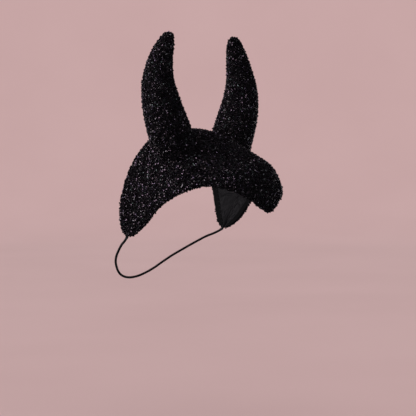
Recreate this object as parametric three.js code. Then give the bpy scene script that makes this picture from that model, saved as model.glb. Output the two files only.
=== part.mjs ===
// Horned half cap: a stiff bead-cloth shell with a widow's peak, two stuffed horns and a nape elastic.
// Millimetres, +Z up, the wearer faces -Y. The origin is the inside of the shell at the crown.
import * as THREE from 'three';

// Shell sizes, measured outside the cloth
const WALL = 3.0;
const EAR_HALF_WIDTH = 83.8;
const CROWN_HEIGHT = 96.8;
const FRONT_REACH = 94.0;
const PLAN_FULLNESS = 2.3;
const EDGE_INSET = 2.0;
const EDGE_BULGE = 1.1;
const MOST_INSET_SHARE = 0.4;
const EAR_LEVEL = WALL - CROWN_HEIGHT;

// Shell mesh steps
const SHELL_STATIONS = 76;
const SHELL_STEPS = 13;

// Horn sizes
const HORN_GAP = 0.4;
const HORN_SIDES = 28;
const HORN_RISE_STEPS = 20;
const SEAM_STEPS = 6;
const BASE_RINGS = 4;
const SEAM_TOP = 8.0;
const SEAM_HALVINGS = 40;

// Elastic sizes
const CORD_DIAMETER = 2.5;
const CORD_SIDES = 8;
const CORD_STEPS = 56;

// Colours and roughness
const BEAD_BLACK = 0x17151a;
const BEAD_ROUGHNESS = 0.35;
const ELASTIC_BLACK = 0x121114;
const ELASTIC_ROUGHNESS = 0.7;

// Top of the shell above ear level, as a share of the crown height, from behind the ears to the forehead
const CROWN_PROFILE = [
  { reach: -30, top: 0.99 },
  { reach: -18, top: 1.0 },
  { reach: -6, top: 1.0 },
  { reach: 6, top: 0.985 },
  { reach: 18, top: 0.921 },
  { reach: 30, top: 0.835 },
  { reach: 42, top: 0.757 },
  { reach: 54, top: 0.696 },
  { reach: 65, top: 0.645 },
  { reach: 75, top: 0.515 },
  { reach: 83, top: 0.295 },
  { reach: 90, top: 0.0 },
];

// Half of the rim from the widow's peak to the side point, in degrees of roll and of reach
const RIM = [
  { at: 0, back_roll: 0, back_reach: -17.5, front_roll: 0, front_reach: 86.8 },
  { at: 1, back_roll: 7, back_reach: -17.5, front_roll: 34.7, front_reach: 85.8 },
  { at: 2, back_roll: 14, back_reach: -17.5, front_roll: 53.3, front_reach: 82.4 },
  { at: 3, back_roll: 21, back_reach: -17.6, front_roll: 58.2, front_reach: 77 },
  { at: 4, back_roll: 28, back_reach: -17.8, front_roll: 59.2, front_reach: 70.5 },
  { at: 5, back_roll: 35, back_reach: -18.1, front_roll: 57.9, front_reach: 63 },
  { at: 6, back_roll: 42, back_reach: -18.6, front_roll: 55.7, front_reach: 55 },
  { at: 7, back_roll: 49, back_reach: -19.1, front_roll: 54.7, front_reach: 47 },
  { at: 8, back_roll: 56, back_reach: -19.5, front_roll: 56.1, front_reach: 38.8 },
  { at: 9, back_roll: 63, back_reach: -19.8, front_roll: 60.9, front_reach: 30.6 },
  { at: 10, back_roll: 70, back_reach: -20.1, front_roll: 67.1, front_reach: 22.7 },
  { at: 11, back_roll: 77, back_reach: -20.2, front_roll: 74, front_reach: 14.4 },
  { at: 12, back_roll: 83, back_reach: -19.8, front_roll: 80.9, front_reach: 7.9 },
  { at: 13, back_roll: 88, back_reach: -19, front_roll: 87.5, front_reach: 2.4 },
  { at: 14, back_roll: 92, back_reach: -17.7, front_roll: 92, front_reach: -3 },
  { at: 15, back_roll: 94.6, back_reach: -15.7, front_roll: 94.8, front_reach: -7.8 },
  { at: 16, back_roll: 95.8, back_reach: -13.1, front_roll: 95.8, front_reach: -11 },
];

// The first row past the middle, mirrored, comes before the others and rounds the peak
const MIRRORED = { ...RIM[1], at: -1, back_roll: -RIM[1].back_roll, front_roll: -RIM[1].front_roll };
const RIM_ROWS = [MIRRORED, ...RIM];

// Horn sections: height over the crown, distance out, distance forward of the ears, half width and half depth
const HORN = [
  { height: -60, out: 33.5, forward: 11.0, half: 16.5, deep: 21.0 },
  { height: -30, out: 44.0, forward: 11.0, half: 18.0, deep: 21.4 },
  { height: -7.8, out: 52.5, forward: 11.0, half: 20.6, deep: 21.6 },
  { height: 2.8, out: 56.5, forward: 11.0, half: 21.5, deep: 21.6 },
  { height: 15.5, out: 61.9, forward: 10.9, half: 20.6, deep: 20.6 },
  { height: 32.5, out: 68.5, forward: 10.3, half: 18.2, deep: 18.2 },
  { height: 50.6, out: 71.3, forward: 9.2, half: 15.1, deep: 15.1 },
  { height: 68.6, out: 68.2, forward: 8.4, half: 12.2, deep: 12.2 },
  { height: 83.5, out: 62.4, forward: 8.9, half: 9.4, deep: 9.4 },
  { height: 92.5, out: 58.3, forward: 9.8, half: 6.6, deep: 6.6 },
  { height: 97, out: 56.4, forward: 10.4, half: 4.1, deep: 4.1 },
  { height: 98.8, out: 55.7, forward: 10.6, half: 1.2, deep: 1.2 },
];

// Half of the elastic's route, from the wearer's right side point to the nape
const CORD_ROUTE = [
  { x: -82.0, y: 21.8, z: -104.0 },
  { x: -80.0, y: 25.2, z: -106.7 },
  { x: -76.6, y: 30.2, z: -109.7 },
  { x: -72.2, y: 36.6, z: -112.8 },
  { x: -64.8, y: 46.7, z: -119.4 },
  { x: -56.3, y: 57.0, z: -126.9 },
  { x: -47.8, y: 65.0, z: -133.5 },
  { x: -39.0, y: 71.0, z: -140.0 },
  { x: -30.2, y: 75.6, z: -146.0 },
  { x: -21.0, y: 79.0, z: -150.4 },
  { x: -10.6, y: 81.2, z: -153.4 },
];
const NAPE = { x: 0, y: 82.0, z: -154.4 };

// Value of a table column at a key, by a smooth curve through the rows
function along(rows, key, column, at) {
  const last = rows.length - 1;
  let i = 0;
  while (i < last - 1 && rows[i + 1][key] < at) {
    i += 1;
  }
  const slope = (k) => {
    const before = rows[Math.max(k - 1, 0)];
    const after = rows[Math.min(k + 1, last)];
    return (after[column] - before[column]) / (after[key] - before[key]);
  };
  const span = rows[i + 1][key] - rows[i][key];
  const t = (at - rows[i][key]) / span;
  const rise = t * t * (3 - 2 * t);
  const start_turn = t * (1 - t) * (1 - t) * span;
  const end_turn = t * t * (t - 1) * span;
  return rows[i][column] * (1 - rise) + rows[i + 1][column] * rise
    + slope(i) * start_turn + slope(i + 1) * end_turn;
}

function topShare(reach) {
  return Math.max(along(CROWN_PROFILE, 'reach', 'top', reach), 0);
}

// Half width of the shell as a share of the width at the ears: a full oval in front, straight behind
function widthShare(reach) {
  const forward = Math.max(Math.sin(THREE.MathUtils.degToRad(reach)), 0);
  return (1 - forward ** PLAN_FULLNESS) ** (1 / PLAN_FULLNESS);
}

// Point of the shell's outside: roll turns about the fore-and-aft axis, reach runs from ears to forehead
function shellPoint(roll, reach) {
  const turn = THREE.MathUtils.degToRad(roll);
  return new THREE.Vector3(
    EAR_HALF_WIDTH * widthShare(reach) * Math.sin(turn),
    -FRONT_REACH * Math.sin(THREE.MathUtils.degToRad(reach)),
    EAR_LEVEL + CROWN_HEIGHT * topShare(reach) * Math.cos(turn),
  );
}

function shellNormal(roll, reach) {
  const step = 0.05;
  const across = shellPoint(roll + step, reach).sub(shellPoint(roll - step, reach));
  const forward = shellPoint(roll, reach + step).sub(shellPoint(roll, reach - step));
  return forward.cross(across).normalize();
}

// Height of the shell's outside over a point of the plan, with the shell grown by a gap
function shellHeight(x, y, gap) {
  const reach = THREE.MathUtils.radToDeg(Math.asin(-y / (FRONT_REACH + gap)));
  const half = (EAR_HALF_WIDTH + gap) * widthShare(reach);
  const top = (CROWN_HEIGHT + gap) * topShare(reach);
  return EAR_LEVEL + top * Math.sqrt(Math.max(1 - (x / half) ** 2, 0));
}

// Closed mesh from rings of points: walls between the rings, a fan over each end
function loft(rings) {
  const sides = rings[0].length;
  const positions = [];
  const faces = [];
  for (const ring of rings) {
    for (const point of ring) {
      positions.push(point.x, point.y, point.z);
    }
  }
  for (let i = 0; i + 1 < rings.length; i += 1) {
    for (let j = 0; j < sides; j += 1) {
      const a = i * sides + j;
      const b = i * sides + ((j + 1) % sides);
      faces.push(a, b, b + sides, a, b + sides, a + sides);
    }
  }
  for (const end of [0, rings.length - 1]) {
    const middle = rings[end].reduce((sum, point) => sum.add(point), new THREE.Vector3());
    middle.divideScalar(sides);
    const hub = positions.length / 3;
    positions.push(middle.x, middle.y, middle.z);
    for (let j = 0; j < sides; j += 1) {
      const a = end * sides + j;
      const b = end * sides + ((j + 1) % sides);
      faces.push(...(end === 0 ? [hub, b, a] : [hub, a, b]));
    }
  }
  const geometry = new THREE.BufferGeometry();
  geometry.setAttribute('position', new THREE.Float32BufferAttribute(positions, 3));
  geometry.setIndex(faces);
  geometry.computeVertexNormals();
  return geometry;
}

// One closed section of the shell's wall, from the back edge over the outside and home along the inside
function shellSection(at) {
  const side = Math.sign(at);
  const rim = (column) => along(RIM_ROWS, 'at', column, Math.abs(at));
  const roll = (share) => side * THREE.MathUtils.lerp(rim('back_roll'), rim('front_roll'), share);
  const reach = (share) => THREE.MathUtils.lerp(rim('back_reach'), rim('front_reach'), share);
  let width = 0;
  for (let k = 0; k < SHELL_STEPS; k += 1) {
    const here = shellPoint(roll(k / SHELL_STEPS), reach(k / SHELL_STEPS));
    const next = shellPoint(roll((k + 1) / SHELL_STEPS), reach((k + 1) / SHELL_STEPS));
    width += here.distanceTo(next);
  }
  const inset = Math.min(EDGE_INSET / width, MOST_INSET_SHARE);
  const outside = [];
  const inside = [];
  for (let k = 0; k <= SHELL_STEPS; k += 1) {
    const share = inset + (1 - 2 * inset) * (k / SHELL_STEPS);
    const point = shellPoint(roll(share), reach(share));
    const normal = shellNormal(roll(share), reach(share));
    outside.push(point);
    inside.unshift(point.clone().addScaledVector(normal, -WALL));
  }
  const edge = (outer, inner, neighbour) => {
    const outward = outer.clone().sub(neighbour).normalize();
    return outer.clone().add(inner).multiplyScalar(0.5).addScaledVector(outward, EDGE_BULGE);
  };
  const front = edge(outside.at(-1), inside[0], outside.at(-2));
  const back = edge(outside[0], inside.at(-1), outside[1]);
  return [...outside, front, ...inside, back];
}

function halfCap() {
  const last_row = RIM.length - 1;
  const rings = [];
  for (let i = 0; i <= SHELL_STATIONS; i += 1) {
    rings.push(shellSection(last_row * (2 * i / SHELL_STATIONS - 1)));
  }
  return loft(rings);
}

// Point of a horn's skin at a height, round its axis
function hornPoint(side, height, angle) {
  const out = along(HORN, 'height', 'out', height);
  const forward = along(HORN, 'height', 'forward', height);
  const half = along(HORN, 'height', 'half', height);
  const deep = along(HORN, 'height', 'deep', height);
  return new THREE.Vector3(
    side * (out + half * Math.cos(angle)),
    -forward - deep * Math.sin(angle),
    height,
  );
}

// Height at which one line of a horn's skin comes down on the shell
function seamHeight(angle) {
  let low = HORN[0].height;
  let high = SEAM_TOP;
  for (let k = 0; k < SEAM_HALVINGS; k += 1) {
    const middle = (low + high) / 2;
    const point = hornPoint(1, middle, angle);
    if (point.z > shellHeight(point.x, point.y, HORN_GAP)) {
      high = middle;
    } else {
      low = middle;
    }
  }
  return high;
}

function horn(side) {
  const angles = [];
  for (let j = 0; j < HORN_SIDES; j += 1) {
    angles.push(-side * 2 * Math.PI * j / HORN_SIDES);
  }
  const seam = angles.map((angle) => hornPoint(side, seamHeight(angle), angle));
  const hub = seam.reduce((sum, point) => sum.add(point), new THREE.Vector3()).divideScalar(HORN_SIDES);
  const rings = [];
  for (let k = 1; k < BASE_RINGS; k += 1) {
    rings.push(seam.map((point) => {
      const inner = hub.clone().lerp(point, k / BASE_RINGS);
      inner.z = shellHeight(inner.x, inner.y, HORN_GAP);
      return inner;
    }));
  }
  for (let k = 0; k < SEAM_STEPS; k += 1) {
    rings.push(angles.map((angle) => {
      const height = THREE.MathUtils.lerp(seamHeight(angle), SEAM_TOP, k / SEAM_STEPS);
      return hornPoint(side, height, angle);
    }));
  }
  const tip = HORN.at(-1).height;
  for (let k = 0; k <= HORN_RISE_STEPS; k += 1) {
    const share = Math.sin(0.5 * Math.PI * k / HORN_RISE_STEPS);
    const height = THREE.MathUtils.lerp(SEAM_TOP, tip, share);
    rings.push(angles.map((angle) => hornPoint(side, height, angle)));
  }
  return loft(rings);
}

// Round elastic along the whole route, both halves alike
function elasticCord() {
  const half = CORD_ROUTE.map((point) => new THREE.Vector3(point.x, point.y, point.z));
  const other = half.map((point) => new THREE.Vector3(-point.x, point.y, point.z)).reverse();
  const nape = new THREE.Vector3(NAPE.x, NAPE.y, NAPE.z);
  const route = new THREE.CatmullRomCurve3([...half, nape, ...other]);
  const section = new THREE.Shape();
  for (let k = 0; k < CORD_SIDES; k += 1) {
    const angle = 2 * Math.PI * k / CORD_SIDES;
    const x = 0.5 * CORD_DIAMETER * Math.cos(angle);
    const y = 0.5 * CORD_DIAMETER * Math.sin(angle);
    if (k === 0) {
      section.moveTo(x, y);
    } else {
      section.lineTo(x, y);
    }
  }
  section.closePath();
  return new THREE.ExtrudeGeometry(section, { steps: CORD_STEPS, extrudePath: route });
}

function piece(name, geometry, color, roughness) {
  const material = new THREE.MeshStandardMaterial({ color, roughness, metalness: 0 });
  const mesh = new THREE.Mesh(geometry, material);
  mesh.name = name;
  return mesh;
}

const part = new THREE.Group();
part.name = 'horned_half_cap';
part.add(piece('half_cap', halfCap(), BEAD_BLACK, BEAD_ROUGHNESS));
part.add(piece('horn_right', horn(-1), BEAD_BLACK, BEAD_ROUGHNESS));
part.add(piece('horn_left', horn(1), BEAD_BLACK, BEAD_ROUGHNESS));
part.add(piece('elastic_cord', elasticCord(), ELASTIC_BLACK, ELASTIC_ROUGHNESS));

export default part;
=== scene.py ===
import math

import bmesh
import bpy
import numpy as np
from mathutils import Matrix, Vector


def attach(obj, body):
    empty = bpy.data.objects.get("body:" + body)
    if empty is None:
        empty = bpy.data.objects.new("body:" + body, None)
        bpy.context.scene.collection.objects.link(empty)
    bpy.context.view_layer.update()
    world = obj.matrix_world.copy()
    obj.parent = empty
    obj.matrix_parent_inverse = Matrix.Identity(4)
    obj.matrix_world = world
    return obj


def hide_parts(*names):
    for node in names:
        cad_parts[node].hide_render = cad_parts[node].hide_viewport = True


# Horned half cap in bead cloth: shell, two stuffed horns, thousands of cut glass beads and a braided elastic.
# Tables are in millimetres and degrees, as in the part's source, and meshes are in metres.

MM = 0.001
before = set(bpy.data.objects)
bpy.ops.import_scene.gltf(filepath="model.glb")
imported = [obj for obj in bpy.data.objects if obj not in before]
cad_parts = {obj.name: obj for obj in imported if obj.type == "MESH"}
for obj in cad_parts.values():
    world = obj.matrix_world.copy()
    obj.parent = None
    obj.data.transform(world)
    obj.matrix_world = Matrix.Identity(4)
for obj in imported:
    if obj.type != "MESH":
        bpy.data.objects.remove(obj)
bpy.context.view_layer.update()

# Cloth coordinates for each millimetre of cloth
UV_SCALE = 0.01

# Shell sizes, measured outside the cloth
WALL = 3.0
EAR_HALF_WIDTH = 83.8
CROWN_HEIGHT = 96.8
FRONT_REACH = 94.0
PLAN_FULLNESS = 2.3
EDGE_INSET = 2.0
EDGE_BULGE = 1.1
EAR_LEVEL = WALL - CROWN_HEIGHT

# Horn sizes
HORN_GAP = 0.4
SEAM_TOP = 8.0

# Top of the shell above ear level, as a share of the crown height: reach, top
CROWN_PROFILE = np.array([
    (-30, 0.99), (-18, 1.0), (-6, 1.0), (6, 0.985), (18, 0.921), (30, 0.835),
    (42, 0.757), (54, 0.696), (65, 0.645), (75, 0.515), (83, 0.295), (90, 0.0),
])

# Half of the rim from the widow's peak to the side point: at, back roll, back reach, front roll, front reach
RIM = np.array([
    (0, 0, -17.5, 0, 86.8), (1, 7, -17.5, 34.7, 85.8), (2, 14, -17.5, 53.3, 82.4),
    (3, 21, -17.6, 58.2, 77), (4, 28, -17.8, 59.2, 70.5), (5, 35, -18.1, 57.9, 63),
    (6, 42, -18.6, 55.7, 55), (7, 49, -19.1, 54.7, 47), (8, 56, -19.5, 56.1, 38.8),
    (9, 63, -19.8, 60.9, 30.6), (10, 70, -20.1, 67.1, 22.7), (11, 77, -20.2, 74, 14.4),
    (12, 83, -19.8, 80.9, 7.9), (13, 88, -19, 87.5, 2.4), (14, 92, -17.7, 92, -3),
    (15, 94.6, -15.7, 94.8, -7.8), (16, 95.8, -13.1, 95.8, -11),
])
MIRRORED = RIM[1] * (-1, -1, 1, -1, 1)
RIM_ROWS = np.vstack([MIRRORED, RIM])

# Horn sections: height over the crown, distance out, distance forward of the ears, half width, half depth
HORN = np.array([
    (-60, 33.5, 11.0, 16.5, 21.0), (-30, 44.0, 11.0, 18.0, 21.4), (-7.8, 52.5, 11.0, 20.6, 21.6),
    (2.8, 56.5, 11.0, 21.5, 21.6), (15.5, 61.9, 10.9, 20.6, 20.6), (32.5, 68.5, 10.3, 18.2, 18.2),
    (50.6, 71.3, 9.2, 15.1, 15.1), (68.6, 68.2, 8.4, 12.2, 12.2), (83.5, 62.4, 8.9, 9.4, 9.4),
    (92.5, 58.3, 9.8, 6.6, 6.6), (97, 56.4, 10.4, 4.1, 4.1), (98.8, 55.7, 10.6, 1.2, 1.2),
])

# Half of the elastic's route, from the wearer's right side point to the nape
CORD_ROUTE = np.array([
    (-82.0, 21.8, -104.0), (-80.0, 25.2, -106.7), (-76.6, 30.2, -109.7), (-72.2, 36.6, -112.8),
    (-64.8, 46.7, -119.4), (-56.3, 57.0, -126.9), (-47.8, 65.0, -133.5), (-39.0, 71.0, -140.0),
    (-30.2, 75.6, -146.0), (-21.0, 79.0, -150.4), (-10.6, 81.2, -153.4),
])
NAPE = (0.0, 82.0, -154.4)

# Camera at the photograph's angle
CAMERA_AZIMUTH = math.radians(-54)
CAMERA_HEIGHT = math.radians(3)
CAMERA_DISTANCE = 1.6
CAMERA_RIGHT = 0.014523
CAMERA_UP = 0.015553
CAMERA_LENS = 134.43
SENSOR_WIDTH = 36


def make_camera():
    ca, sa = math.cos(CAMERA_AZIMUTH), math.sin(CAMERA_AZIMUTH)
    ce, se = math.cos(CAMERA_HEIGHT), math.sin(CAMERA_HEIGHT)
    back = Vector((sa * ce, -ca * ce, se))
    right = Vector((ca, sa, 0))
    up = back.cross(right)
    data = bpy.data.cameras.new("camera")
    data.lens = CAMERA_LENS
    data.sensor_width = SENSOR_WIDTH
    camera = bpy.data.objects.new("camera", data)
    bpy.context.scene.collection.objects.link(camera)
    target = Vector((0, 0, EAR_LEVEL * MM)) + right * CAMERA_RIGHT + up * CAMERA_UP
    camera.location = target + back * CAMERA_DISTANCE
    camera.rotation_mode = "QUATERNION"
    camera.rotation_quaternion = Matrix((right, up, back)).transposed().to_quaternion()
    bpy.context.scene.camera = camera
    return right, up, back


# Tables and curves

def along(rows, column, at):
    """Values of a table column at keys in column 0, by a smooth curve through the rows."""
    at = np.asarray(at, float)
    keys, values = rows[:, 0], rows[:, column]
    last = len(rows) - 1
    i = np.clip(np.searchsorted(keys, at, side="left") - 1, 0, last - 1)
    index = np.arange(last + 1)
    before, after = np.maximum(index - 1, 0), np.minimum(index + 1, last)
    slope = (values[after] - values[before]) / (keys[after] - keys[before])
    span = keys[i + 1] - keys[i]
    t = (at - keys[i]) / span
    rise = t * t * (3 - 2 * t)
    return (values[i] * (1 - rise) + values[i + 1] * rise
            + slope[i] * t * (1 - t) ** 2 * span + slope[i + 1] * t * t * (t - 1) * span)


def unit(v):
    return v / np.maximum(np.linalg.norm(v, axis=-1, keepdims=True), 1e-12)


def run_of(points, axis):
    """Length along rows or columns of a grid of points, from the first."""
    step = np.linalg.norm(np.diff(points, axis=axis), axis=-1)
    return np.insert(np.cumsum(step, axis=axis), 0, 0, axis=axis)


def resample(at, run, values):
    """Points or directions at lengths along a line, from those at its own points."""
    return np.stack([np.interp(at, run, values[:, k]) for k in range(3)], -1)


def top_share(reach):
    return np.maximum(along(CROWN_PROFILE, 1, reach), 0)


def width_share(reach):
    forward = np.clip(np.sin(np.radians(reach)), 0, 1)
    return (1 - forward ** PLAN_FULLNESS) ** (1 / PLAN_FULLNESS)


def shell_point(roll, reach):
    roll, reach = np.broadcast_arrays(np.asarray(roll, float), np.asarray(reach, float))
    turn = np.radians(roll)
    return np.stack([
        EAR_HALF_WIDTH * width_share(reach) * np.sin(turn),
        -FRONT_REACH * np.sin(np.radians(reach)),
        EAR_LEVEL + CROWN_HEIGHT * top_share(reach) * np.cos(turn),
    ], -1)


def shell_normal(roll, reach):
    step = 0.05
    across = shell_point(roll + step, reach) - shell_point(roll - step, reach)
    forward = shell_point(roll, reach + step) - shell_point(roll, reach - step)
    return unit(np.cross(forward, across))


def shell_height(x, y, gap):
    """Height of the shell's outside over points of the plan, with the shell grown by a gap."""
    reach = np.degrees(np.arcsin(np.clip(-y / (FRONT_REACH + gap), -1, 1)))
    half = (EAR_HALF_WIDTH + gap) * width_share(reach)
    top = (CROWN_HEIGHT + gap) * top_share(reach)
    return EAR_LEVEL + top * np.sqrt(np.maximum(1 - (x / half) ** 2, 0))


def horn_section(height):
    """Distance out, distance forward, half width and half depth of a horn at a height."""
    return [along(HORN, k, height) for k in (1, 2, 3, 4)]


def horn_point(side, height, angle):
    out, forward, half, deep = horn_section(height)
    x = side * (out + half * np.cos(angle))
    y = -forward - deep * np.sin(angle)
    return np.stack(np.broadcast_arrays(x, y, np.asarray(height, float)), -1)


# Meshes from arrays

def mesh_object(name, points, groups, smooth, uv=None):
    """A mesh in metres from points in millimetres and arrays of faces, each with its own corner count."""
    corners = np.concatenate([np.asarray(g, np.int32).ravel() for g in groups])
    counts = np.concatenate([np.full(len(g), np.shape(g)[1], np.int32) for g in groups])
    mesh = bpy.data.meshes.new(name)
    mesh.vertices.add(len(points))
    mesh.vertices.foreach_set("co", (np.asarray(points) * MM).astype(np.float32).ravel())
    mesh.loops.add(len(corners))
    mesh.loops.foreach_set("vertex_index", corners)
    mesh.polygons.add(len(counts))
    mesh.polygons.foreach_set("loop_start", np.cumsum(counts, dtype=np.int32) - counts)
    mesh.polygons.foreach_set("use_smooth", np.full(len(counts), smooth))
    if uv is not None:
        layer = mesh.uv_layers.new(name="cloth")
        layer.data.foreach_set("uv", np.asarray(uv, np.float32)[corners].ravel())
    mesh.update(calc_edges=True)
    mesh.validate()
    obj = bpy.data.objects.new(name, mesh)
    bpy.context.scene.collection.objects.link(obj)
    return obj


def grid_faces(rows, columns, closed):
    """Quads of a grid of points, row after row. A closed grid joins its last column to its first."""
    steps = columns if closed else columns - 1
    i, j = np.meshgrid(np.arange(rows - 1), np.arange(steps), indexing="ij")
    a = i * columns + j
    b = i * columns + (j + 1) % columns
    return np.stack([a, b, b + columns, a + columns], -1).reshape(-1, 4)


def fan_faces(first, count, hub):
    """Triangles from a ring of points to a point in its middle."""
    loop = np.arange(count)
    return np.stack([first + loop, first + (loop + 1) % count, np.full(count, hub)], -1)


def outward(obj):
    """Turns a closed mesh's faces outward."""
    work = bmesh.new()
    work.from_mesh(obj.data)
    bmesh.ops.recalc_face_normals(work, faces=work.faces)
    work.to_mesh(obj.data)
    work.free()
    return obj


def copies(base, faces, centre, axis, side, lift):
    """Points and faces of many copies of a small form, each with a place and three scaled directions."""
    points = (centre[:, None] + base[None, :, :1] * axis[:, None] + base[None, :, 1:2] * side[:, None]
              + base[None, :, 2:] * lift[:, None])
    offset = (np.arange(len(centre)) * len(base))[:, None, None]
    return points.reshape(-1, 3), (faces[None] + offset).reshape(-1, 3)


def turned_form(rings, sides, hubs):
    """A small form of unit size along X from rings of (place, thickness), closed over a hub at each end."""
    turn = np.linspace(0, 2 * np.pi, sides, endpoint=False)
    points = [(x, 0.5 * r * math.cos(t), 0.5 * r * math.sin(t)) for x, r in rings for t in turn]
    points += [(x, 0, 0) for x in hubs]
    faces = []
    for a, b, c, d in grid_faces(len(rings), sides, True):
        faces += [(a, c, b), (a, d, c)]
    first, last = len(points) - 2, len(points) - 1
    faces += [(a, b, c) for a, b, c in fan_faces(0, sides, first)]
    faces += [(b, a, c) for a, b, c in fan_faces((len(rings) - 1) * sides, sides, last)]
    return np.array(points), np.array(faces)


# Shell

SHELL_STATIONS = 280
MIDDLE_COLUMNS = 34
SECTION_PROBES = 60
RIM_STEPS = 7
RIM_BEADED = 5
# Most that the edge is inset in a narrow section, as a share of its width
NARROW_INSET = 0.4
# Width of a section that has room for the hem's columns on both sides, in widths of those columns
HEM_ROOM = 2.5

# Columns beside the rim: distance from it, and how far the turned hem stands in from the lining there
HEM_COLUMNS = np.array([
    (0, 1.0), (0.9, 1.0), (1.9, 1.0), (3.0, 1.0), (4.2, 1.0), (5.2, 1.0),
    (5.8, 0.95), (6.1, 0.4), (6.4, 0.0), (7.2, 0.0), (8.6, 0.0),
])
HEM_EDGE_COLUMN = 7
HEM_THICK = 0.5
# Soft ripples of the lining: height, length along the rim, length across, start
RIPPLES = np.array([(0.26, 19.0, 47.0, 0.0), (0.18, -11.0, 29.0, 1.3), (0.12, 7.3, -16.0, 2.1)])

STITCH_STEP = 4.4
STITCH_LENGTH = 2.6
STITCH_THICK = 0.5
STITCH_SLANT = 0.6
STITCH_LIFT = 0.2
STITCH_SIDES = 6
# Form of a stitch: place along it and thickness there, then its ends
STITCH_RINGS = ((-0.5, 0.35), (-0.38, 0.85), (0, 1.0), (0.38, 0.85), (0.5, 0.35))
STITCH_ENDS = (-0.52, 0.52)


def column_shares(run, probe):
    """Places of one section's columns: close together beside both rims, evenly spread between."""
    inset = min(EDGE_INSET, NARROW_INSET * run[-1])
    width = run[-1] - 2 * inset
    near = HEM_COLUMNS[:, 0] * min(1, width / (HEM_ROOM * HEM_COLUMNS[-1, 0]))
    middle = np.linspace(near[-1], width - near[-1], MIDDLE_COLUMNS + 2)[1:-1]
    return np.interp(inset + np.concatenate([near, middle, width - near[::-1]]), run, probe)


def wall_depth(outside):
    """Depth of the inside under the outside: the wall, a turned hem by the rims and a rippled lining."""
    columns = len(HEM_COLUMNS)
    hem = np.concatenate([HEM_COLUMNS[:, 1], np.zeros(MIDDLE_COLUMNS), HEM_COLUMNS[::-1, 1]])
    lined = np.concatenate([np.zeros(columns), np.ones(MIDDLE_COLUMNS), np.zeros(columns)])
    u, v = run_of(outside, 0), run_of(outside, 1)
    ripple = sum(h * np.sin(2 * np.pi * (u / a + v / b) + start) for h, a, b, start in RIPPLES)
    return WALL + HEM_THICK * hem + ripple * lined


def rim_curve(outside, inside, end, neighbour):
    """The rounded edge from the outside to the inside at one end of every section."""
    bend = np.linspace(0, np.pi, RIM_STEPS + 2)[1:-1]
    out = unit(outside[:, end] - outside[:, neighbour])[:, None]
    middle = 0.5 * (outside[:, end] + inside[:, end])[:, None]
    half = 0.5 * (outside[:, end] - inside[:, end])[:, None]
    return middle + half * np.cos(bend)[None, :, None] + EDGE_BULGE * out * np.sin(bend)[None, :, None]


def shell_sections():
    """The beaded outside, the inside, outward directions and the whole ring of every section."""
    at = np.linspace(-RIM[-1, 0], RIM[-1, 0], SHELL_STATIONS)
    side = np.sign(at)
    back_roll, back_reach, front_roll, front_reach = (along(RIM_ROWS, k, np.abs(at)) for k in (1, 2, 3, 4))

    def place(share):
        roll = (side * back_roll)[:, None] + (side * (front_roll - back_roll))[:, None] * share
        reach = back_reach[:, None] + (front_reach - back_reach)[:, None] * share
        return roll, reach

    probe = np.linspace(0, 1, SECTION_PROBES)
    runs = run_of(shell_point(*place(probe)), 1)
    roll, reach = place(np.stack([column_shares(run, probe) for run in runs]))
    outside = shell_point(roll, reach)
    normal = shell_normal(roll, reach)
    inside = outside - normal * wall_depth(outside)[..., None]
    front = rim_curve(outside, inside, -1, -2)
    back = rim_curve(outside, inside, 0, 1)[:, ::-1]
    beaded = np.concatenate([back[:, -RIM_BEADED:], outside, front[:, :RIM_BEADED]], 1)
    ring = np.concatenate([outside, front, inside[:, ::-1], back], 1)
    return beaded, inside, normal, ring


def make_shell(ring, ground, lining):
    stations, columns = ring.shape[:2]
    k = np.arange(columns // 2 - 1)
    strip = np.stack([k, k + 1, columns - 2 - k, columns - 1 - k], -1)
    ends = [strip, strip + (stations - 1) * columns]
    across = run_of(ring[:, columns // 4], 0)[:, None]
    uv = np.stack(np.broadcast_arrays(across, run_of(ring, 1)), -1).reshape(-1, 2) * UV_SCALE
    skin = grid_faces(stations, columns, True)
    obj = mesh_object("half_cap_cloth", ring.reshape(-1, 3), [skin, *ends], True, uv)
    first_lined = (columns - 2 * RIM_STEPS) // 2 + RIM_STEPS + HEM_EDGE_COLUMN
    end_lined = columns - RIM_STEPS - 1 - HEM_EDGE_COLUMN
    column = np.arange(columns)
    lined = (column >= first_lined) & (column < end_lined)
    is_lining = np.concatenate([np.tile(lined, stations - 1), np.zeros(sum(map(len, ends)), bool)])
    obj.data.polygons.foreach_set("material_index", is_lining.astype(np.int32))
    outward(obj)
    obj.data.materials.append(ground)
    obj.data.materials.append(lining)
    return obj


def make_stitches(inside, normal, thread):
    """Slip stitches over the edge of the turned hem, all round the inside of the rim."""
    centre, axis, up = [], [], []
    for column, inner in ((HEM_EDGE_COLUMN, 1), (inside.shape[1] - 1 - HEM_EDGE_COLUMN, -1)):
        line = inside[:, column]
        run = run_of(line, 0)
        at = np.arange(0.5 * STITCH_STEP, run[-1], STITCH_STEP)
        over = unit(resample(at, run, inside[:, column + inner] - inside[:, column - inner]))
        rim = unit(resample(at, run, np.gradient(line, axis=0)))
        out = resample(at, run, normal[:, column])
        centre.append(resample(at, run, line) - out * STITCH_LIFT)
        axis.append(unit(over + rim * STITCH_SLANT * inner))
        up.append(out)
    centre, axis, up = (np.concatenate(x) for x in (centre, axis, up))
    side = unit(np.cross(up, axis))
    base, faces = turned_form(STITCH_RINGS, STITCH_SIDES, STITCH_ENDS)
    points, all_faces = copies(base, faces, centre, axis * STITCH_LENGTH, side * STITCH_THICK,
                               np.cross(axis, side) * STITCH_THICK)
    obj = mesh_object("hem_stitches", points, [all_faces], True)
    obj.data.materials.append(thread)
    return obj


# Horns

HORN_ROUND = 72
HORN_RISE = 90
HORN_BASE_RINGS = 4
HORN_TIP_RISE = 0.3
SEAM_HALVINGS = 40


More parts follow.
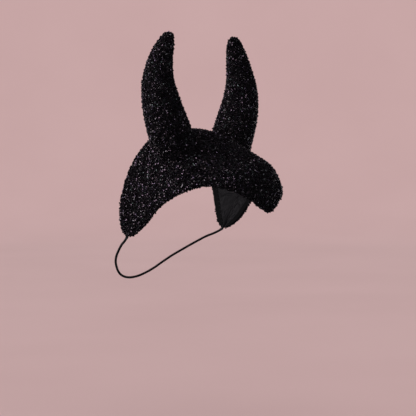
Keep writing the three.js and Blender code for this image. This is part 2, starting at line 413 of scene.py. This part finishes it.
def seam_heights(angle):
    """Heights at which a horn's skin meets the grown shell, found by halving."""
    low = np.full_like(angle, HORN[0, 0])
    high = np.full_like(angle, SEAM_TOP)
    for _ in range(SEAM_HALVINGS):
        middle = (low + high) / 2
        point = horn_point(1, middle, angle)
        above = point[..., 2] > shell_height(point[..., 0], point[..., 1], HORN_GAP)
        high = np.where(above, middle, high)
        low = np.where(above, low, middle)
    return high


def horn_grid(side):
    """A horn's skin, ring over ring from the seam on the shell to the tip."""
    angle = -side * np.linspace(0, 2 * np.pi, HORN_ROUND, endpoint=False)
    share = np.sin(0.5 * np.pi * np.linspace(0, 1, HORN_RISE))[:, None]
    seam = seam_heights(angle)[None]
    return horn_point(side, seam + (HORN[-1, 0] - seam) * share, angle[None])


def make_horn(name, grid, ground):
    hub = grid[0].mean(0)
    base = hub + (grid[:1] - hub) * (np.arange(1, HORN_BASE_RINGS) / HORN_BASE_RINGS)[:, None, None]
    base[..., 2] = shell_height(base[..., 0], base[..., 1], HORN_GAP)
    hub[2] = shell_height(hub[0], hub[1], HORN_GAP)
    rings = np.concatenate([base, grid])
    rows, columns = rings.shape[:2]
    tip = grid[-1].mean(0) + (0, 0, HORN_TIP_RISE)
    points = np.vstack([rings.reshape(-1, 3), hub, tip])
    groups = [grid_faces(rows, columns, True), fan_faces(0, columns, len(points) - 2),
              fan_faces((rows - 1) * columns, columns, len(points) - 1)]
    uv = np.stack([run_of(rings, 1), run_of(rings, 0)], -1).reshape(-1, 2)
    uv = np.vstack([uv, uv[:1], uv[-1:]]) * UV_SCALE
    obj = outward(mesh_object(name, points, groups, True, uv))
    obj.data.materials.append(ground)
    return obj


# Beads

BEAD_LENGTH = 1.85
BEAD_THICK = 1.48
BEAD_SIDES = 6
# Barrel form of a bead: place along it and thickness there, then the bottoms of the dents at its holes
BEAD_RINGS = ((-0.5, 0.64), (-0.31, 1.0), (0.31, 1.0), (0.5, 0.64))
BEAD_HOLES = (-0.4, 0.4)
# Differences between beads, as shares of their size: spread, least, most
LENGTH_VARIES = (0.2, 0.6, 1.55)
THICK_VARIES = (0.08, 0.8, 1.2)
RISE_VARIES = 0.16
TILT_LIMIT = 1.2
# Largest share of X in an outward direction that can still be crossed with X
CROSS_LIMIT = 0.8
# Bead layers: least distance between two, height of middles over the cloth, spread of tilt, tries on the cap
BED = (1.46, 0.16, 0.32, 140000)
TOP = (3.4, 0.72, 0.4, 14000)
# Share of those tries that a horn needs
HORN_TRIES_SHARE = 0.4
# How far the cap's beads reach in under the foot of a horn
HORN_FOOT_LAP = 0.6
# Plan line that parts the cap's beads into a front and a back piece on each side
CAP_BEADS_SPLIT = -25.0
CAP_SEED = 11


def random_places(grid, rng, tries):
    """Random points spread evenly over a grid of surface points, with their outward directions."""
    a, b, c, d = grid[:-1, :-1], grid[:-1, 1:], grid[1:, 1:], grid[1:, :-1]
    across = np.cross(c - a, d - b)
    area = np.linalg.norm(across, axis=-1).ravel()
    pick = rng.choice(area.size, tries, p=area / area.sum())
    s, t = rng.random((2, tries))
    weights = [(1 - s) * (1 - t), s * (1 - t), s * t, (1 - s) * t]
    points = sum(w[:, None] * x.reshape(-1, 3)[pick] for w, x in zip(weights, (a, b, c, d)))
    return points, unit(across.reshape(-1, 3)[pick])


def well_apart(points, spacing):
    """Numbers of the points that lie no nearer than the spacing to any point kept before them."""
    near = [(i, j, k) for i in (-1, 0, 1) for j in (-1, 0, 1) for k in (-1, 0, 1)]
    cells = np.floor(points / spacing).astype(int).tolist()
    limit = spacing * spacing
    taken = {}
    kept = []

    def is_clear(x, y, z, px, py, pz):
        for i, j, k in near:
            for qx, qy, qz in taken.get((x + i, y + j, z + k), ()):
                if (px - qx) ** 2 + (py - qy) ** 2 + (pz - qz) ** 2 < limit:
                    return False
        return True

    for n, (cell, point) in enumerate(zip(cells, points.tolist())):
        if is_clear(*cell, *point):
            taken.setdefault(tuple(cell), []).append(point)
            kept.append(n)
    return kept


def bead_layers(grid, seed, share):
    """A row for each bead of the bed and of those on top: place, outward direction, rise, tilt spread."""
    rng = np.random.default_rng(seed)
    layers = []
    for spacing, rise, tilt, tries in (BED, TOP):
        points, normals = random_places(grid, rng, int(tries * share))
        kept = well_apart(points, spacing)
        same = np.tile((rise, tilt), (len(kept), 1))
        layers.append(np.column_stack([points[kept], normals[kept], same]))
    return np.vstack(layers)


def bead_directions(rng, normals, spread):
    """Three directions for each bead: laid any way round on the cloth, tilted, and spun about its length."""
    n = len(normals)
    helper = np.where(np.abs(normals[:, :1]) < CROSS_LIMIT, [[1.0, 0, 0]], [[0, 1.0, 0]])
    u = unit(np.cross(normals, helper))
    turn = rng.uniform(0, 2 * np.pi, n)[:, None]
    flat = u * np.cos(turn) + np.cross(normals, u) * np.sin(turn)
    tilt = (rng.normal(0, 1, n) * spread).clip(-TILT_LIMIT, TILT_LIMIT)[:, None]
    axis = unit(flat * np.cos(tilt) + normals * np.sin(tilt))
    side = unit(np.cross(normals, axis))
    lift = np.cross(axis, side)
    spin = rng.uniform(0, 2 * np.pi, n)[:, None]
    return axis, side * np.cos(spin) + lift * np.sin(spin), lift * np.cos(spin) - side * np.sin(spin)


def varied(rng, n, size, spread, least, most):
    return size * rng.normal(1, spread, n).clip(least, most)[:, None]


def make_beads(name, rows, seed, glass):
    """Joined six-sided cut beads, each with a shade of its own for the glass."""
    rng = np.random.default_rng(seed)
    n = len(rows)
    places, normals, rise, spread = rows[:, :3], rows[:, 3:6], rows[:, 6], rows[:, 7]
    axis, side, lift = bead_directions(rng, normals, spread)
    long = varied(rng, n, BEAD_LENGTH, *LENGTH_VARIES)
    thick = varied(rng, n, BEAD_THICK, *THICK_VARIES)
    centre = places + normals * (rise + rng.normal(0, RISE_VARIES, n))[:, None]
    base, faces = turned_form(BEAD_RINGS, BEAD_SIDES, BEAD_HOLES)
    points, all_faces = copies(base, faces, centre, axis * long, side * thick, lift * thick)
    obj = mesh_object(name, points, [all_faces], False)
    shade = obj.data.attributes.new("bead_shade", "FLOAT", "POINT")
    shade.data.foreach_set("value", np.repeat(rng.random(n), len(base)).astype(np.float32))
    obj.data.materials.append(glass)
    return obj


def under_horns(places):
    """Which places on the cap the feet of the horns cover."""
    x, y, z = places.T
    out, forward, half, deep = horn_section(np.clip(z, HORN[0, 0], SEAM_TOP))
    half, deep = half - HORN_FOOT_LAP, deep - HORN_FOOT_LAP
    covered = [((x - side * out) / half) ** 2 + ((y + forward) / deep) ** 2 < 1 for side in (-1, 1)]
    return covered[0] | covered[1]


# Elastic

CORD_DIAMETER = 2.5
CORD_SIDES = 18
CORD_RING_STEP = 0.34
KNOT_STEPS = 60
BRAID_STRANDS = 6
BRAID_PITCH = 6.4
BRAID_RELIEF = 0.14
PATH_STEP = 6
WHIP_START = 0.6
WHIP_TURNS = 6
WHIP_TURN_POINTS = 14
WHIP_THICK = 0.38
WHIP_SIDES = 6
# Distance between two turns and rise of the turns over the elastic, in thicknesses of the thread
WHIP_PITCH = 1.1
WHIP_RISE = 0.4


def cord_centres():
    """Points close together along the whole route, by a centripetal curve through its knots."""
    knots = np.vstack([CORD_ROUTE, [NAPE], CORD_ROUTE[::-1] * (-1, 1, 1)])
    reach = np.vstack([2 * knots[0] - knots[1], knots, 2 * knots[-1] - knots[-2]])
    fine = []
    for k in range(len(knots) - 1):
        p = reach[k:k + 4]
        t0, t1, t2, t3 = np.insert(np.cumsum(np.linalg.norm(np.diff(p, axis=0), axis=-1) ** 0.5), 0, 0)
        t = np.linspace(t1, t2, KNOT_STEPS, endpoint=False)[:, None]
        a1 = ((t1 - t) * p[0] + (t - t0) * p[1]) / (t1 - t0)
        a2 = ((t2 - t) * p[1] + (t - t1) * p[2]) / (t2 - t1)
        a3 = ((t3 - t) * p[2] + (t - t2) * p[3]) / (t3 - t2)
        b1 = ((t2 - t) * a1 + (t - t0) * a2) / (t2 - t0)
        b2 = ((t3 - t) * a2 + (t - t1) * a3) / (t3 - t1)
        fine.append(((t2 - t) * b1 + (t - t1) * b2) / (t2 - t1))
    fine = np.vstack(fine + [knots[-1:]])
    run = run_of(fine, 0)
    at = np.linspace(0, run[-1], int(run[-1] / CORD_RING_STEP) + 1)
    return resample(at, run, fine), at


def carried_frame(centres):
    """Side and lift directions carried along a line of points without twist."""
    tangent = unit(np.gradient(centres, axis=0))
    side = np.zeros_like(tangent)
    side[0] = unit(np.cross(tangent[0], (0, 0, 1.0)))
    for k in range(1, len(tangent)):
        side[k] = unit(side[k - 1] - tangent[k] * (side[k - 1] @ tangent[k]))
    return side, np.cross(tangent, side)


def tube(name, centres, radius, sides, run):
    """A closed tube with a radius for each ring and side."""
    side, lift = carried_frame(centres)
    turn = np.linspace(0, 2 * np.pi, sides, endpoint=False)
    spoke = side[:, None] * np.cos(turn)[None, :, None] + lift[:, None] * np.sin(turn)[None, :, None]
    grid = centres[:, None] + np.broadcast_to(radius, spoke.shape[:2])[..., None] * spoke
    points = np.vstack([grid.reshape(-1, 3), centres[:1], centres[-1:]])
    groups = [grid_faces(len(grid), sides, True), fan_faces(0, sides, len(points) - 2),
              fan_faces((len(grid) - 1) * sides, sides, len(points) - 1)]
    uv = np.stack(np.broadcast_arrays(turn[None], run[:, None]), -1).reshape(-1, 2)
    uv = np.vstack([uv, uv[:1], uv[-1:]]) * UV_SCALE
    return outward(mesh_object(name, points, groups, True, uv))


def make_cord(braid):
    """A tube in relief where two sets of strands cross, with its line, its path in metres and its length."""
    centres, run = cord_centres()
    turn = np.linspace(0, 2 * np.pi, CORD_SIDES, endpoint=False)[None]
    phase = 2 * np.pi * run[:, None] / BRAID_PITCH
    strands = [np.abs(np.cos(0.5 * BRAID_STRANDS * (turn + way * phase))) for way in (1, -1)]
    radius = 0.5 * CORD_DIAMETER * (1 - BRAID_RELIEF * (1 - np.maximum(*strands)))
    cord = tube("elastic_braid", centres, radius, CORD_SIDES, run)
    cord.data.materials.append(braid)
    path = np.vstack([centres[:-1:PATH_STEP], centres[-1:]]) * MM
    return cord, centres, path, run[-1] * MM


def make_whipping(name, centres, thread):
    """Sewing thread wound round the end of the elastic where it is sewn in at the side point."""
    side, lift = carried_frame(centres)
    run = run_of(centres, 0)
    end = WHIP_TURNS * WHIP_THICK * WHIP_PITCH + WHIP_START
    at = np.linspace(WHIP_START, end, WHIP_TURNS * WHIP_TURN_POINTS)
    turn = 2 * np.pi * np.linspace(0, WHIP_TURNS, len(at))[:, None]
    spoke = resample(at, run, side) * np.cos(turn) + resample(at, run, lift) * np.sin(turn)
    line = resample(at, run, centres) + 0.5 * (CORD_DIAMETER + WHIP_RISE * WHIP_THICK) * spoke
    obj = tube(name, line, 0.5 * WHIP_THICK, WHIP_SIDES, run_of(line, 0))
    obj.data.materials.append(thread)
    return obj


# Materials

# Bead glass: dark and light tone, sharp and soft polish, refraction, tints of the glints from bead to bead
GLASS_TONES = ((0.0, (0.0007, 0.0005, 0.0008)), (1.0, (0.0036, 0.0026, 0.004)))
GLASS_POLISH = {"To Min": 0.11, "To Max": 0.35}
GLASS_IOR = 1.54
GLINT_TINTS = (
    (0.0, (1, 0.72, 0.96)), (0.3, (1, 0.92, 1)), (0.5, (0.86, 0.66, 1)),
    (0.66, (1, 0.84, 0.9)), (0.8, (0.78, 0.96, 0.94)), (0.9, (1, 0.76, 0.86)),
)
# Cloth: uneven threads and dye, share of the weave in the tone, where the tones start and end, shine, relief
THREADS = {"Distortion": 0.6, "Detail": 1.0}
DYE = {"Scale": 9.0, "Detail": 5.0}
WEAVE_SHARE = 0.55
TONE_START, TONE_END = 0.35, 1.0
CLOTH_SHINE = 0.18
WEAVE_RELIEF = {"Strength": 0.5, "Distance": 0.0002}


def new_material(name):
    material = bpy.data.materials.new(name)
    material.use_nodes = True
    tree = material.node_tree
    return material, tree, tree.nodes["Principled BSDF"]


def set_inputs(node, values):
    for name, value in values.items():
        node.inputs[name].default_value = value


def add_node(tree, kind, values):
    """A node with values on its named inputs."""
    node = tree.nodes.new(kind)
    set_inputs(node, values)
    return node


def colour_ramp(tree, source, stops, interpolation="LINEAR"):
    """Colours by a source value, from stops of (place, colour)."""
    node = tree.nodes.new("ShaderNodeValToRGB")
    ramp = node.color_ramp
    ramp.interpolation = interpolation
    for k, (place, colour) in enumerate(stops):
        stop = ramp.elements[k] if k < 2 else ramp.elements.new(place)
        stop.position = place
        stop.color = (*colour, 1)
    tree.links.new(source, node.inputs["Fac"])
    return node.outputs["Color"]


def bead_material():
    """Black cut glass: deep, glossy, each bead slightly different in tone, polish and tint."""
    material, tree, shader = new_material("black_cut_glass")
    attribute = tree.nodes.new("ShaderNodeAttribute")
    attribute.attribute_name = "bead_shade"
    shade = attribute.outputs["Fac"]
    polish = add_node(tree, "ShaderNodeMapRange", GLASS_POLISH)
    tree.links.new(shade, polish.inputs["Value"])
    tree.links.new(colour_ramp(tree, shade, GLASS_TONES), shader.inputs["Base Color"])
    tree.links.new(polish.outputs["Result"], shader.inputs["Roughness"])
    tree.links.new(colour_ramp(tree, shade, GLINT_TINTS, "CONSTANT"), shader.inputs["Specular Tint"])
    set_inputs(shader, {"IOR": GLASS_IOR})
    return material


def weave_height(tree, where, thread):
    """Height of two crossing sets of threads."""
    weave = tree.nodes.new("ShaderNodeMath")
    weave.operation = "MULTIPLY"
    for k, direction in enumerate(("X", "Y")):
        wave = add_node(tree, "ShaderNodeTexWave", {"Scale": thread, **THREADS})
        wave.bands_direction = direction
        tree.links.new(where, wave.inputs["Vector"])
        tree.links.new(wave.outputs["Fac"], weave.inputs[k])
    return weave.outputs["Value"]


def cloth_material(name, thread, dark, light, roughness, sheen):
    """Plain black woven cloth: two crossing sets of threads in relief, with uneven dye."""
    material, tree, shader = new_material(name)
    cloth = tree.nodes.new("ShaderNodeUVMap")
    cloth.uv_map = "cloth"
    where = cloth.outputs["UV"]
    weave = weave_height(tree, where, thread)
    dye = add_node(tree, "ShaderNodeTexNoise", DYE)
    tree.links.new(where, dye.inputs["Vector"])
    mix = tree.nodes.new("ShaderNodeMath")
    mix.operation = "MULTIPLY_ADD"
    mix.inputs[1].default_value = WEAVE_SHARE
    tree.links.new(weave, mix.inputs[0])
    tree.links.new(dye.outputs["Fac"], mix.inputs[2])
    tone = colour_ramp(tree, mix.outputs["Value"], ((TONE_START, dark), (TONE_END, light)))
    tree.links.new(tone, shader.inputs["Base Color"])
    set_inputs(shader, {"Roughness": roughness, "Specular IOR Level": CLOTH_SHINE, "Sheen Weight": sheen})
    bump = add_node(tree, "ShaderNodeBump", WEAVE_RELIEF)
    tree.links.new(weave, bump.inputs["Height"])
    tree.links.new(bump.outputs["Normal"], shader.inputs["Normal"])
    return material


def ground_material():
    """Matt black cloth that carries the beads."""
    return cloth_material("black_ground_cloth", thread=70.0, dark=(0.0009, 0.0007, 0.001),
                          light=(0.0032, 0.0027, 0.0035), roughness=0.8, sheen=0.005)


def lining_material():
    """Black satin with a soft shine."""
    return cloth_material("black_satin_lining", thread=110.0, dark=(0.003, 0.0026, 0.0034),
                          light=(0.0115, 0.01, 0.0125), roughness=0.4, sheen=0.004)


def braid_material():
    """Fine black threads of the elastic's braid."""
    return cloth_material("elastic_threads", thread=160.0, dark=(0.0016, 0.0014, 0.0019),
                          light=(0.008, 0.007, 0.0088), roughness=0.6, sheen=0.01)


def mottled_material(name, noise, dark, light, roughness):
    """A surface with faint uneven tones."""
    material, tree, shader = new_material(name)
    where = tree.nodes.new("ShaderNodeTexCoord")
    mottle = add_node(tree, "ShaderNodeTexNoise", noise)
    tree.links.new(where.outputs["Object"], mottle.inputs["Vector"])
    tone = colour_ramp(tree, mottle.outputs["Fac"], ((0.0, dark), (1.0, light)))
    tree.links.new(tone, shader.inputs["Base Color"])
    set_inputs(shader, {"Roughness": roughness})
    return material


def thread_material():
    """Black sewing thread with fine twisted plies."""
    return mottled_material("black_thread", noise={"Scale": 2600.0, "Detail": 3.0},
                            dark=(0.008, 0.007, 0.009), light=(0.04, 0.036, 0.042), roughness=0.5)


def floor_material():
    """Pale blush painted floor and sweep, with faint uneven brushing."""
    return mottled_material("pale_sweep", noise={"Scale": 3.0, "Detail": 4.0},
                            dark=(0.692, 0.463, 0.459), light=(0.763, 0.521, 0.517), roughness=0.9)


# Stage

FLOOR_LEVEL = -0.30
SWEEP_INNER = 2.4
SWEEP_BEND = 1.2
SWEEP_TOP = 3.2
SWEEP_SIDES = 96
SWEEP_BEND_STEPS = 24

# Lamps: name, place to the image's right, up and toward the camera, size, power, colour
LAMPS = (
    ("key", (-1.0, 0.35, 0.45), (0.5, 0.65), 7.7, (1.0, 0.94, 0.98)),
    ("front", (-0.5, 0.9, 1.5), (0.3, 0.3), 1.6, (1.0, 0.95, 1.0)),
    ("top", (-0.5, 1.7, 0.0), (1.0, 1.0), 0.55, (1.0, 0.97, 0.98)),
    ("side", (1.4, 0.35, 0.45), (0.4, 0.5), 2.0, (0.9, 0.97, 1.0)),
    ("rear", (0.8, 0.0, -1.2), (0.45, 0.6), 1.4, (1.0, 0.95, 0.98)),
    ("nape", (-1.1, 0.05, -0.85), (0.4, 0.6), 1.5, (1.0, 0.95, 0.98)),
)
LAMP_TARGET = Vector((0, 0, -0.03))
# Light of the room, and the same room as the glossy beads see it
ROOM = {"Color": (1.0, 0.97, 0.97, 1), "Strength": 0.8}
ROOM_IN_GLOSS = {"Color": (1.0, 0.93, 0.97, 1), "Strength": 0.026}


def make_stage():
    """A round floor that bends up into a wall, with the collection that keeps the lamps off it."""
    bend = np.linspace(0, 0.5 * np.pi, SWEEP_BEND_STEPS)[1:]
    curve = np.stack([SWEEP_INNER + SWEEP_BEND * np.sin(bend), SWEEP_BEND * (1 - np.cos(bend))], -1)
    wall = (SWEEP_INNER + SWEEP_BEND, SWEEP_TOP)
    profile = np.vstack([[(0.5 * SWEEP_INNER, 0), (SWEEP_INNER, 0)], curve, [wall]])
    turn = np.linspace(0, 2 * np.pi, SWEEP_SIDES, endpoint=False)
    grid = np.stack(np.broadcast_arrays(profile[:, :1] * np.cos(turn), profile[:, :1] * np.sin(turn),
                                        FLOOR_LEVEL + profile[:, 1:]), -1)
    points = np.vstack([grid.reshape(-1, 3), [(0, 0, FLOOR_LEVEL)]]) / MM
    middle = fan_faces(0, SWEEP_SIDES, len(points) - 1)[:, ::-1]
    sweep = mesh_object("floor_sweep", points, [grid_faces(len(profile), SWEEP_SIDES, True), middle], True)
    sweep.data.materials.append(floor_material())
    sweep.visible_glossy = False
    sweep.visible_diffuse = False
    sweep.visible_shadow = False
    unlit = bpy.data.collections.new("lit_by_room_only")
    unlit.objects.link(sweep)
    unlit.collection_objects[0].light_linking.link_state = "EXCLUDE"
    return unlit


def area_light(name, place, size, power, colour, unlit):
    """A soft lamp that faces the object and leaves the floor to the light of the room."""
    data = bpy.data.lights.new(name, "AREA")
    data.shape = "RECTANGLE"
    data.size, data.size_y = size
    data.energy = power
    data.color = colour
    light = bpy.data.objects.new(name, data)
    bpy.context.scene.collection.objects.link(light)
    light.location = place
    light.rotation_mode = "QUATERNION"
    light.rotation_quaternion = (LAMP_TARGET - place).to_track_quat("-Z", "Y")
    light.light_linking.receiver_collection = unlit


def make_lights(right, up, back, unlit):
    for name, (across, high, near), size, power, colour in LAMPS:
        place = LAMP_TARGET + right * across + up * high + back * near
        area_light(name, place, size, power, colour, unlit)


def make_room():
    """Even light all round, dimmed in reflections so that black glass stays black between its glints."""
    world = bpy.data.worlds.new("soft_room")
    world.use_nodes = True
    tree = world.node_tree
    room = tree.nodes["Background"]
    set_inputs(room, ROOM)
    dim = add_node(tree, "ShaderNodeBackground", ROOM_IN_GLOSS)
    path = tree.nodes.new("ShaderNodeLightPath")
    mix = tree.nodes.new("ShaderNodeMixShader")
    tree.links.new(path.outputs["Is Glossy Ray"], mix.inputs["Fac"])
    tree.links.new(room.outputs["Background"], mix.inputs[1])
    tree.links.new(dim.outputs["Background"], mix.inputs[2])
    tree.links.new(mix.outputs["Shader"], tree.nodes["World Output"].inputs["Surface"])
    bpy.context.scene.world = world
    bpy.context.scene.view_settings.view_transform = "Standard"


# The object

# Bead pieces of the cap: name, on the wearer's left, behind the split, seed
CAP_BEADS = (
    ("cap_beads_right_front", False, False, 21), ("cap_beads_right_back", False, True, 22),
    ("cap_beads_left_front", True, False, 23), ("cap_beads_left_back", True, True, 24),
)
# Horns: name, side, seed of the places, seed of the beads
HORNS = (("horn_right", -1, 31, 32), ("horn_left", 1, 41, 42))


def carry(obj, slot, *nodes):
    """Puts a finished piece on the body and hides the nodes that it stands for. The slot is not used."""
    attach(obj, "root")
    if nodes:
        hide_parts(*nodes)
    return obj


def dress_elastic(braid, thread):
    cord, line, path, length = make_cord(braid)
    carry(cord, "elastic", "elastic_cord")
    ends = (("elastic_whipping_right", line), ("elastic_whipping_left", line[::-1]))
    whippings = [carry(make_whipping(name, centres, thread), "elastic") for name, centres in ends]


def dress_cap(ground, lining, thread, glass):
    beaded, inside, normal, ring = shell_sections()
    carry(make_shell(ring, ground, lining), "bead_cloth", "half_cap")
    carry(make_stitches(inside, normal, thread), "bead_cloth")
    rows = bead_layers(beaded, CAP_SEED, 1.0)
    rows = rows[~under_horns(rows[:, :3])]
    left, behind = rows[:, 0] >= 0, rows[:, 1] >= CAP_BEADS_SPLIT
    for name, on_left, at_back, seed in CAP_BEADS:
        mine = (left == on_left) & (behind == at_back)
        carry(make_beads(name, rows[mine], seed, glass), "bead_cloth")


def dress_horns(ground, glass):
    for name, side, place_seed, bead_seed in HORNS:
        grid = horn_grid(side)
        horn = carry(make_horn(name + "_cloth", grid, ground), "horn_cloth", name)
        rows = bead_layers(np.concatenate([grid, grid[:, :1]], 1), place_seed, HORN_TRIES_SHARE)
        carry(make_beads(name + "_beads", rows, bead_seed, glass), "horn_cloth")


right, up, back = make_camera()
thread = thread_material()
ground = ground_material()
glass = bead_material()
dress_elastic(braid_material(), thread)
dress_cap(ground, lining_material(), thread, glass)
dress_horns(ground, glass)
make_lights(right, up, back, make_stage())
make_room()

bpy.context.view_layer.update()
